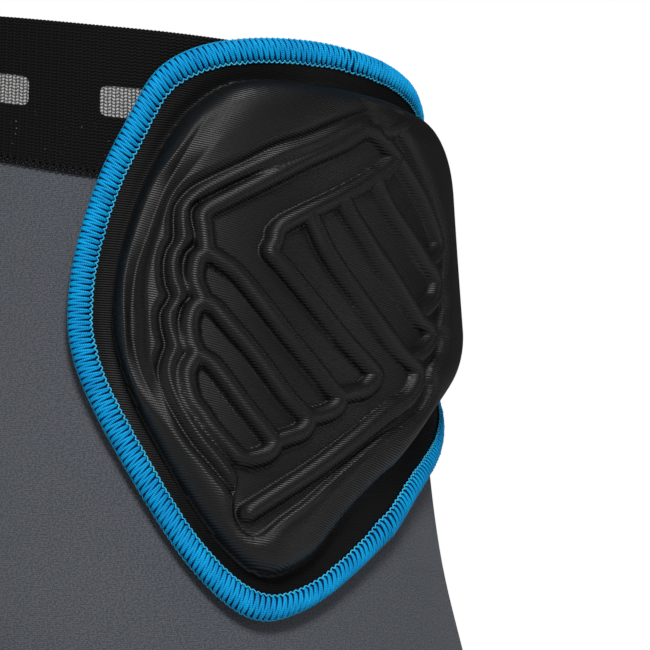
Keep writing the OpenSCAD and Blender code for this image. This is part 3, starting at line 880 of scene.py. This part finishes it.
def curve(points, closed=False, n=10):
    """A smooth curve through points."""
    p = np.array(points, float)
    if closed:
        a, b, c, e = np.roll(p, 1, 0), p, np.roll(p, -1, 0), np.roll(p, -2, 0)
    else:
        q = np.concatenate([[2 * p[0] - p[1]], p, [2 * p[-1] - p[-2]]])
        a, b, c, e = q[:-3], q[1:-2], q[2:-1], q[3:]
    f = (np.arange(n) / n)[None, :, None]
    a, b, c, e = (x[:, None] for x in (a, b, c, e))
    out = 0.5 * (2 * b + (c - a) * f + (2 * a - 5 * b + 4 * c - e) * f**2
                 + (3 * b - a - 3 * c + e) * f**3).reshape(-1, 2)
    return out if closed else np.concatenate([out, p[-1:]])


def evenly(points, n):
    """n points evenly along a closed curve, and its length."""
    p = np.concatenate([points, points[:1]])
    run = lengths_along(p)
    at = np.arange(n) / n * run[-1]
    return np.stack([np.interp(at, run, p[:, 0]), np.interp(at, run, p[:, 1])], 1), run[-1]


def drawn_in(outline, w):
    return outline * (1 - w / np.linalg.norm(outline, axis=-1, keepdims=True))


def distance(points, line, closed=False, reach=8.0):
    """Distance from each point to a line of points, in the plane, or reach where it is further."""
    flat = points.reshape(-1, 2)
    low, high = line.min(0) - reach, line.max(0) + reach
    near = np.flatnonzero(((flat > low) & (flat < high)).all(1))
    best = np.full(len(near), reach**2)
    ends = np.roll(line, -1, 0) if closed else line[1:]
    for a, b in zip(line if closed else line[:-1], ends):
        ab = b - a
        away = flat[near] - a
        t = np.clip((away @ ab) / max(ab @ ab, 1e-9), 0, 1)
        best = np.minimum(best, ((away - t[:, None] * ab) ** 2).sum(1))
    out = np.full(len(flat), reach)
    out[near] = np.sqrt(best)
    return out.reshape(points.shape[:-1])


def within(points, loop):
    """Which points lie inside a closed loop."""
    x, y = points[..., 0], points[..., 1]
    inside = np.zeros(x.shape, bool)
    for (ax, ay), (bx, by) in zip(loop, np.roll(loop, -1, 0)):
        if ay != by:
            inside ^= ((ay > y) != (by > y)) & (x < ax + (y - ay) * (bx - ax) / (by - ay))
    return inside


def hump(points, line, half):
    """1 on a line, falling in a smooth hump to 0 at half away from it."""
    r = distance(points, line) / half
    return np.clip(1 - r * r, 0, 1)


def crease(points, line, half):
    """1 on a line, falling to 0 at half away from it, with a sharp fold on the line."""
    return np.clip(1 - distance(points, line) / half, 0, 1) ** 1.5


# the hip pad's moulding: the sunk zone, the tubes over it, the groove round it, the soft fold and
# the roll behind that, and a small hook at the top
HIP_ZONE = [
    (8.5, 71.5), (3.5, 67), (-8, 58.5), (-20, 51), (-30, 46.5), (-39, 41), (-45, 36.5),
    (-49, 33.5), (-49.5, 29.5), (-48, 24.5), (-47.5, 21.5), (-50, 18), (-51, 14), (-50, 10),
    (-48, 6), (-47.5, 2.5), (-49.5, -0.5), (-50, -5), (-48.5, -10), (-46.5, -14), (-48.5, -19),
    (-49, -23), (-47.5, -29), (-45, -34.5), (-40.5, -41.5), (-35, -48.5), (-31.5, -53.5),
    (-31, -57), (-32, -62), (-32, -66.5), (-30.5, -70.5), (-27.5, -73.5), (-23.5, -74), (-17, -68),
    (-8.5, -61), (-2, -54.5), (7, -46), (16, -38), (27, -30), (32, -26.5), (35.5, -22.5),
    (38, -18), (36.5, -13.5), (39, -9), (44, -5), (47, 0.5), (45, 5), (48.5, 11.5), (47.5, 18),
    (51, 27), (50, 36.5), (43, 44.5), (36, 52), (28, 59), (22, 65), (18.5, 67.5), (13.5, 65),
    (10, 66.5)]
HIP_RIDGES = [
    [(18.5, 60), (7.5, 67), (-1, 61.5), (-8, 57), (-14.5, 53), (-26.5, 44.5), (-38, 36.5),
     (-45, 31), (-44.5, 25.5), (-43.5, 18.5), (-45.5, 15.5), (-46, 11.5), (-45.5, 7.5), (-43, 2),
     (-45, -0.5), (-46, -4), (-46, -7.5), (-45, -12), (-43.5, -15.5), (-45, -19), (-46, -22.5),
     (-45.5, -27), (-44, -31.5), (-41, -35.5), (-38, -40), (-30.5, -48)],
    [(-43.5, 18.5), (-39, 16), (-33, 12), (-24.5, 3), (-16, -6.5), (-6.5, -16.5), (-1.5, -22),
     (1.5, -25), (1.5, -28), (-1, -30.5), (-5.5, -32.5), (-8.5, -33)],
    [(-43, 2), (-39.5, 0.5), (-35.5, -3.5), (-25.5, -14), (-16, -26), (-12, -30), (-9, -33),
     (-8.5, -35.5), (-10.5, -38.5), (-14.5, -40.5), (-19, -42.5)],
    [(-43.5, -15.5), (-40.5, -17), (-37, -20), (-28, -31.5), (-20.5, -40.5), (-19, -43),
     (-21, -46.5), (-25, -48.5), (-28, -49), (-30.5, -48)],
    [(1.5, -25), (5.5, -23.5), (10, -22), (13, -19), (14, -16), (12, -13.5), (2.5, -5.5),
     (-6.5, 3.5), (-15.5, 12.5), (-20.5, 17.5), (-23.5, 20.5), (-22.5, 24), (-22, 27.5),
     (-19.5, 30.5), (-11.5, 36), (-1.5, 42.5), (8.5, 50), (18.5, 60)],
    [(-12, 35), (-9, 30), (-5.5, 24), (0, 17), (11.5, 4.5), (21, -6), (25.5, -9)],
    [(-1, 42.5), (1.5, 38), (6, 32.5), (17, 19), (29.5, 6.5), (35.5, 4), (38, 0.5), (36, -3),
     (31.5, -6.5), (25.5, -9)],
    [(10, 51), (12, 47), (15, 42.5), (20, 37.5), (33, 27), (39, 23.5), (42, 20), (41.5, 16),
     (38.5, 12), (29.5, 6.5)],
    [(18.5, 60), (24, 55), (31, 49), (38, 42), (43, 36), (44, 32.5), (40.5, 28.5), (35.5, 25.5)],
    [(-27, -66.5), (-17, -59), (-6.5, -51), (7, -39.5), (21, -26.5), (26, -22.5), (29.5, -18),
     (30.5, -14), (29, -11), (25.5, -9)],
]
HIP_GROOVE = [
    (7, 73.5), (-3.5, 68), (-14.5, 61.5), (-24.5, 56.5), (-34.5, 49.5), (-42, 44.5), (-49.5, 39),
    (-53.5, 33), (-54, 28), (-53.5, 21.5), (-55, 17.5), (-55.5, 12.5), (-54.5, 6.5), (-53, 3),
    (-53.5, 0.5), (-55, -3), (-54.5, -8), (-53, -13.5), (-54, -18), (-54.5, -23), (-53, -29),
    (-49.5, -36.5), (-44.5, -45), (-40, -50.5), (-35.5, -56), (-32, -60)]
HIP_FOLD = [
    (-42, 62), (-46, 57.5), (-53, 47), (-58, 38), (-60.5, 28.5), (-62.5, 18), (-63.5, 9), (-63, 0),
    (-62, -6), (-60.5, -19), (-57, -29.5), (-52, -42), (-46, -52)]
HIP_ROLL = [
    (-36, 73), (-47.5, 66), (-53, 57), (-57.5, 46), (-61.5, 34), (-64, 23), (-66.5, 11.5),
    (-67, 0), (-66, -12), (-62, -25), (-56, -37), (-48, -50)]
HIP_HOOK = [(7, 78), (17, 78.5), (22, 76), (20, 72.5), (15, 69)]

TAIL_ZONE = [(-34, 18), (-26, 38), (0, 44), (26, 38), (34, 18), (29, -8), (16, -30), (0, -40),
             (-16, -30), (-29, -8)]
TAIL_RIDGES = [[(0, 34), (0, -30)]] + [
    [(side * x, y), (side * x / 2, y - 8), (0, foot)]
    for x, y, foot in ((26, 30, 10), (28, 14, -7), (24, -3, -23)) for side in (-1, 1)]
TUBE_HALF, ZONE_SINK = 3.3, 3.3
# how deep the groove, the fold, the roll and the hook are, and half their widths
GROOVE_DEEP, FOLD_DEEP, ROLL_HIGH, HOOK_HIGH = 2.9, 2.4, 1.7, 1.4
GROOVE_HALF, FOLD_HALF, ROLL_HALF, HOOK_HALF = 3.2, 3.4, 3.2, 2.2


def quilted(p, dome, zone_points, ridges):
    """The dome with a sunk zone that padded tubes run over, and how far inside the zone p is."""
    zone = curve(zone_points, True, 3)
    edge = distance(p, zone, True) * np.where(within(p, zone), 1, -1)
    across = np.min([distance(p, curve(line, n=5)) for line in ridges], 0) / TUBE_HALF
    tube = np.clip(1 - across**2, 0, 1) ** 0.62
    sunk = ease((edge + 0.9) / 1.9)
    return dome - ZONE_SINK * sunk * (1 - tube) + 0.4 * tube, edge


def hip_relief(p, dome):
    """The height of the hip pad's top, before it meets the flange."""
    top, edge = quilted(p, dome, HIP_ZONE, HIP_RIDGES)
    top = top - GROOVE_DEEP * crease(p, curve(HIP_GROOVE, n=5), GROOVE_HALF) * (edge < 0)
    top = top - 0.9 * np.clip(1 - np.abs(edge + 1.0) / 3.0, 0, 1) ** 2 * (edge < 0)
    y = p[..., 1]
    fold = hump(p, curve(HIP_FOLD), FOLD_HALF)
    top = top - FOLD_DEEP * fold * ease((62 - y) / 26) * ease((y + 46) / 22)
    roll = hump(p, curve(HIP_ROLL), ROLL_HALF)
    top = top + ROLL_HIGH * roll * ease((y + 52) / 26) * ease((74 - y) / 20)
    return top + HOOK_HIGH * hump(p, curve(HIP_HOOK), HOOK_HALF)


def tail_relief(p, dome):
    return quilted(p, dome, TAIL_ZONE, TAIL_RIDGES)[0]


def spread_min(a):
    """The least of each point and its neighbours, on a grid whose columns wrap."""
    a = np.minimum(a, np.minimum(np.roll(a, 1, 1), np.roll(a, -1, 1)))
    up, down = np.concatenate([a[:1], a[:-1]]), np.concatenate([a[1:], a[-1:]])
    return np.minimum(a, np.minimum(up, down))


def pad_shape(outline_points, foot_points, relief, cols):
    """A pad's outline, finely and evenly, and its length; the cover's grid, its height and where it
    is over the foam; and the foam's grid and its height."""
    fine = curve(outline_points, True, 40)
    outline, length = evenly(fine, cols)
    foot = curve(foot_points, True, 6)

    def surface(p):
        """The height of the pad's top at p."""
        inside = distance(p, foot, True, DOME_RISE) * np.where(within(p, foot), 1, -1)
        q = np.clip(inside / DOME_RISE, 0, 1)
        dome = FLANGE_H + (DOME_H - FLANGE_H) * np.sqrt(np.maximum(1 - (1 - q) ** 2, 0))
        top = np.where(inside > 0, np.maximum(relief(p, dome), FLANGE_H), FLANGE_H)
        return top - 0.35 * bell(inside + 1.0, 2.2)

    core = drawn_in(outline, CORE_IN)
    shares = np.linspace(0.02, 1, 112)[:-1]
    insets = np.linspace(CORE_IN, 1.6, 80)
    p = np.concatenate([shares[:, None, None] * core[None], [drawn_in(outline, w) for w in insets]])
    bearing = np.arctan2(outline[::4, 1], outline[::4, 0])
    foot_bearing = np.arctan2(foot[:, 1], foot[:, 0])
    turned = np.argsort(foot_bearing)
    reach = np.interp(bearing, foot_bearing[turned], np.linalg.norm(foot[turned], axis=1),
                      period=TAU) - 0.8
    shares = np.sin(np.linspace(0.02, 1, 40) * np.pi / 2)
    edge = reach[:, None] * np.stack([np.cos(bearing), np.sin(bearing)], -1)
    fp = shares[:, None, None] * edge[None]
    thick = np.maximum(spread_min(spread_min(surface(fp))) - COVER_T - 0.4, FOAM_LOW + 0.3)
    return fine, outline, length, p, surface(p), within(p, foot), fp, thick


def pad(name, node, shape, spot, side):
    """side is 1 or -1 for a hip pad and 0 for the one on the tailbone."""
    fine, outline, length, p, top, domed, fp, thick = shape
    cols = len(outline)
    sign = side or 1

    def place(p, h):
        return round_point(sign * (spot[0] + p[..., 0]), spot[1] - p[..., 1], h, side == 0)

    def layer(part, p, high, low, material):
        """A dished solid over the grid p of the pad's plane, between the heights high and low."""
        return dish(f"{name}_{part}", place(p, high), place(p, low),
                    np.concatenate([p, p[:, :1]], 1), material, side < 0)

    cover = layer("cover_cloth", p, top, top - COVER_T, COVER)
    cover.data.materials.append(FLANGE)
    # the faces off the foam are the flange
    domed = domed | np.roll(domed, -1, 1)
    flat = ~(domed[:-1] | domed[1:])
    index = np.zeros(len(cover.data.polygons), np.int32)
    index[:flat.size] = flat.ravel()
    cover.data.polygons.foreach_set("material_index", index)
    stands_for(cover, "pad_cover_cloth", side, f"{node}_cover")

    foam = layer("foam_core", fp, thick, FOAM_LOW, FOAM)
    stands_for(foam, "pad_foam", side, f"{node}_foam")

    rows = np.append(np.arange(0, len(p) - 1, 6), len(p) - 1)
    back = layer("backing_cloth", p[rows][:, ::3], BACK_HIGH, BACK_LOW, BACKING)
    stands_for(back, "backing_cloth", side, f"{node}_backing")

    # the edge under the stitching is dark blue, painted shade between the thread rungs
    rings = np.stack([place(drawn_in(outline, w), h) for w, h in EDGING])
    gone = lengths_along(EDGING)
    u, v = np.meshgrid(np.linspace(0, length, cols + 1), np.append(gone, gone[-1] + 5))
    strip = ring_solid(f"{name}_overlock_painted_shade", rings, np.stack([u, v], -1), BLUE_SHADE_UNDER, side >= 0)
    stands_for(strip, "blue_thread", side, f"{node}_edging")

    fine = evenly(fine, 6000)[0]
    fine = np.concatenate([fine, fine[:1]])
    runs = np.linspace(0, length, 6001)
    over = lengths_along(OVERLOCK)

    def lay(t, c, lift=0.0):
        """A point t along the edge, at c across the stitching from its inner side."""
        o = np.stack([np.interp(t % length, runs, fine[:, k]) for k in (0, 1)], -1)
        w, h = np.interp(c, over, OVERLOCK[:, 0]), np.interp(c, over, OVERLOCK[:, 1]) + lift
        return place(o * (1 - w[..., None] / np.linalg.norm(o, axis=-1, keepdims=True)), h)

    stitches = round(length / STITCH)
    t = np.linspace(0, length, stitches * 16, endpoint=False)
    phase = t / length * stitches
    uneven = np.random.default_rng(7).normal(0, 1, (3, stitches))
    jitter, reach, slip = (np.interp(phase, np.arange(stitches + 1), np.append(r, r[:1]))
                           for r in uneven)
    # the zigzag of thick thread, a little uneven
    first, last = 1.25, over[-1] - 1.05
    zig = 0.5 + 0.5 * np.arcsin(0.93 * np.sin(TAU * phase)) / np.arcsin(0.93)
    c = first + (last - first) * zig + 0.12 * jitter
    t_lean = t + LEAN * (zig - 0.5) * sign + 0.10 * slip
    lift = 0.10 * np.cos(TAU * phase) + 0.05 * reach
    fat, thin = Tubes(8), Tubes()
    spine = lay(t_lean, c, lift)
    fat.add(spine, unit(lay(t_lean, c, lift + 1.0) - spine), *OVERLOCK_SIZE)
    thread = fat.build(f"{name}_overlock_thread", BLUE_THREAD)
    # a row of loops along each edge of the stitching, coloured a lighter blue as painted highlight
    for base, bulge, shift in ((first - 0.05, -0.85, 0.25), (last + 0.05, 0.85, 0.75)):
        arch = np.abs(np.sin(np.pi * (phase - shift))) ** 0.8
        across = base + bulge * arch * (1 + 0.12 * reach)
        high = 0.30 - 0.16 * arch
        line = lay(t, across, high)
        thin.add(line, unit(lay(t, across, high + 1.0) - line), *LOOP_SIZE)
    loops = thin.build(f"{name}_edge_loops", BLUE_LOOP_HIGHLIGHT)
    for obj in (thread, loops):
        stands_for(obj, "blue_thread", side)


# ---- Grippers and label ----

# the beads' wavelength, spacing and height over the surface, and half their width and height
BEAD_WAVE, BEAD_GAP, BEAD_H, BEAD_SIZE = 11, 4.0, -2.72, (1.1, 0.32)
LABEL_HALF, LABEL_L, LABEL_T = 14, 34, 0.35


def gripper(side):
    """Three wavy beads of silicone inside a hem."""
    tubes = Tubes(8)
    mid = (HEM_DROP + GARMENT_L) / 2
    n = 1440
    t, girth = even_shares(leg_point, mid, n)
    waves = round(girth / BEAD_WAVE)
    a = TAU * waves * np.arange(n) / n
    for k in (-1, 0, 1):
        d = mid + BEAD_GAP * k + 1.1 * np.sin(a)
        line, tip = leg_point(t, d, BEAD_H), leg_point(t, d, BEAD_H - 1)
        tubes.add(line, unit(tip - line), *BEAD_SIZE)
    if side < 0:
        tubes.mirror()
    beads = tubes.build(f"{side_name(side)}_silicone_beads", SILICONE)
    stands_for(beads, "silicone", side, f"{side_name(side)}_gripper")


def care_label():
    """Blank, and a little curled."""
    rows, cols = np.linspace(0, LABEL_L, 36), np.linspace(-LABEL_HALF, LABEL_HALF, 24)
    d, s = np.meshgrid(BAND_H + 2 + rows, cols, indexing="ij")
    curl = (-2.3 - 1.6 * ease((d - BAND_H - 4) / 30)
            - 0.5 * np.sin(s / LABEL_HALF * 2.1) * ease((d - BAND_H) / 30))
    outer = round_point(-s, d, curl, True)
    inner = outer - LABEL_T * grid_normals(outer)
    obj = shell("blank_care_label", outer, inner, np.stack([s, d], -1), LABEL, flip=True)
    stands_for(obj, "label_satin", 0, "care_label")
    return obj


# ---- The assembly ----

cloths = {side: side_cloth(side) for side in (1, -1)}
pouch = front_pouch()

band = elastic_ring("elastic_waistband", waist_point, 0.0, BAND_H, 0.8, -1.4, WAIST_ELASTIC,
                    dips=waist_dips)
stands_for(band, "waistband_elastic", 0, "waistband")

for side in (1, -1):
    hem = elastic_ring(f"{side_name(side)}_elastic_hem", leg_point, HEM_DROP, GARMENT_L, 0.25,
                       -1.95, HEM_ELASTIC, mirror=side < 0)
    stands_for(hem, "hem_elastic", side, f"{side_name(side)}_hem")
    gripper(side)

t_waist = even_shares(waist_point, BAND_H + 0.2, 1200)[0]
waist_drop = BAND_H + 0.2 + waist_dips(t_waist)[1]
thread_piece("waist_seam", seam_line(waist_point, t_waist, waist_drop, 0.35), 1.25, 0.0, True,
             material=BLACK_THREAD)

drops = cloth_rows()
drops = drops[(drops > BAND_H + 0.6) & (drops < RISE)]
back_p, back_n = centre_line(1.0, drops)
front_p, front_n = centre_line(0.0, drops[drops > CROTCH_TIP - 0.1][::-1])
seat_line = Line(np.concatenate([back_p, front_p[1:]]), np.concatenate([back_n, front_n[1:]]))
thread_piece("centre_back_seam", seat_line, SEAM_HALF, 0.0)

# the lines of the left side's seams
pouch_drops = drops[drops < CROTCH_TIP - 0.5]
pouch_edge = pouch_u(pouch_drops)
pouch_line = Line(body(pouch_edge, pouch_drops), outward(pouch_edge, pouch_drops))
leg_drops = np.linspace(RISE + 3.0, HEM_DROP - 3.0, 70)
leg_middle = leg_point(0.0, leg_drops, 0.0)
leg_line = Line(leg_middle, leg_point(0.0, leg_drops, 1.0) - leg_middle)
hem_line = seam_line(leg_point, even_shares(leg_point, HEM_DROP, 900)[0], HEM_DROP, 0.3)
hip_shape = pad_shape(HIP_OUTLINE, HIP_FOOT, hip_relief, 880)
for side in (1, -1):
    label, on_right = side_name(side), side < 0
    thread_piece(f"{label}_pouch_seam", pouch_line, SEAM_HALF, 0.05, mirror=on_right)
    thread_piece(f"{label}_inseam", leg_line, SEAM_HALF, 0.05, side=side, mirror=on_right)
    thread_piece(f"{label}_hem_seam", hem_line, SEAM_HALF, 0.15, True, side=side, mirror=on_right)
    pad(f"{label}_hip", f"{label}_hip_pad", hip_shape, HIP_SPOT, side)
tail_shape = pad_shape(TAIL_OUTLINE, TAIL_FOOT, tail_relief, 480)
pad("tailbone", "tailbone_pad", tail_shape, TAIL_SPOT, 0)
label_piece = care_label()

# ---- Studio ----

VIEW_AZIMUTH = math.radians(220)
RIGHT_OF_VIEW = Vector((math.cos(VIEW_AZIMUTH), math.sin(VIEW_AZIMUTH), 0))
TOWARDS_VIEW = Vector((math.sin(VIEW_AZIMUTH), -math.cos(VIEW_AZIMUTH), 0))
UP = Vector((0, 0, 1))


def seen(right, up, towards):
    """A point by how the camera sees it from the middle of the waist: right, up and nearer."""
    return RIGHT_OF_VIEW * right + UP * up + TOWARDS_VIEW * towards


PAD_MIDDLE = seen(0.109, -0.095, 0.07)


def studio_light(name, right, up, towards, width, height, watts):
    """A soft light placed as the camera sees it, in metres from the pad, and aimed at it."""
    lamp = bpy.data.lights.new(name, "AREA")
    lamp.shape, lamp.size, lamp.size_y, lamp.energy = "RECTANGLE", width, height, watts
    obj = bpy.data.objects.new(name, lamp)
    obj.location = PAD_MIDDLE + seen(right, up, towards)
    obj.rotation_mode = "QUATERNION"
    obj.rotation_quaternion = (PAD_MIDDLE - obj.location).to_track_quat("-Z", "Y")
    bpy.context.scene.collection.objects.link(obj)


# how far right, up and nearer each light is, its width and height, and its watts
studio_light("key", 0.22, 1.5, 1.25, 0.5, 0.5, 37)
studio_light("side", -1.7, 0.3, 0.7, 0.9, 1.4, 4.5)
studio_light("rim", 1.8, 0.4, 0.1, 0.4, 1.2, 4)
studio_light("front", -0.8, 0.5, -2.2, 1.4, 1.4, 12)

# the camera sees a white world, and everything else sees a dim one
world = bpy.data.worlds.new("studio")
bpy.context.scene.world = world
world.use_nodes = True
nodes = world.node_tree.nodes
nodes.clear()
shade, sky = nodes.new("ShaderNodeBackground"), nodes.new("ShaderNodeBackground")
shade.inputs["Strength"].default_value = 0.04
sky.inputs["Strength"].default_value = 1.0
for n in (shade, sky):
    n.inputs["Color"].default_value = (1, 1, 1, 1)
path, either = nodes.new("ShaderNodeLightPath"), nodes.new("ShaderNodeMixShader")
links = world.node_tree.links
links.new(path.outputs["Is Camera Ray"], either.inputs[0])
links.new(shade.outputs[0], either.inputs[1])
links.new(sky.outputs[0], either.inputs[2])
links.new(either.outputs[0], nodes.new("ShaderNodeOutputWorld").inputs["Surface"])

FLOOR_HALF, FLOOR_Z = 1600.0, float(cad_low.z) / MM - 3.0
steps = np.linspace(-FLOOR_HALF, FLOOR_HALF, 9)
fx, fy = np.meshgrid(steps, steps, indexing="ij")
floor_top = np.stack([fx, fy, np.full(fx.shape, FLOOR_Z)], -1)
floor = shell("studio_floor", floor_top, floor_top - np.array([0, 0, 10.0]),
              np.stack([fx, fy], -1), FLOOR)

EYE_AWAY = 2.5
camera = bpy.data.cameras.new("camera")
camera.lens, camera.sensor_width = 395.8, 36.0
camera.clip_start, camera.clip_end = 0.1, 30.0
eye = bpy.data.objects.new("camera", camera)
eye.location = seen(0.1088, -0.095, EYE_AWAY)
eye.rotation_mode = "QUATERNION"
eye.rotation_quaternion = (-TOWARDS_VIEW).to_track_quat("-Z", "Y")
bpy.context.scene.collection.objects.link(eye)
bpy.context.scene.camera = eye
bpy.context.scene.view_settings.view_transform = "Standard"
